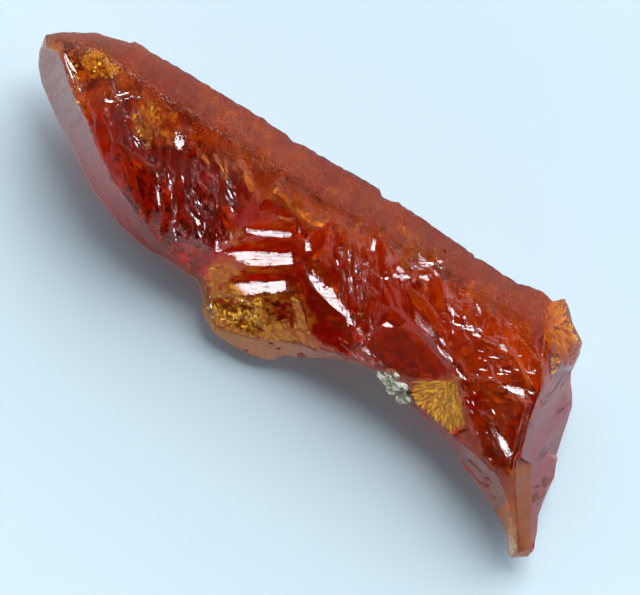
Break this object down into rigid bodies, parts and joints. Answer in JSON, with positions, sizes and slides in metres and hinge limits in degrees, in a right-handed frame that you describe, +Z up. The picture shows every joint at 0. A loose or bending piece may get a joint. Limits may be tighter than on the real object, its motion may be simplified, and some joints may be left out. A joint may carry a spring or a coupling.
{
  "type": "zincite crystal",
  "caption": "Broken red-orange zincite crystal, pointed at one end and hooked at the other, lying on a flat cleavage face with its splintered side up.",
  "frame": {"origin": "centre of the bounding box at the height of the resting face", "axes": "+X along the length, from the pointed end to the hooked end; +Y towards the rounded growth face; +Z up, out of the splintered side"},
  "size_m": [0.0488, 0.0172, 0.0096],
  "materials": {
    "zincite": "clear deep red crystal with glossy cleavage faces and splinters, and a finely pitted matte growth face"
  },
  "bodies": {
    "root": {"zincite_crystal": "zincite"}
  },
  "joints": []
}
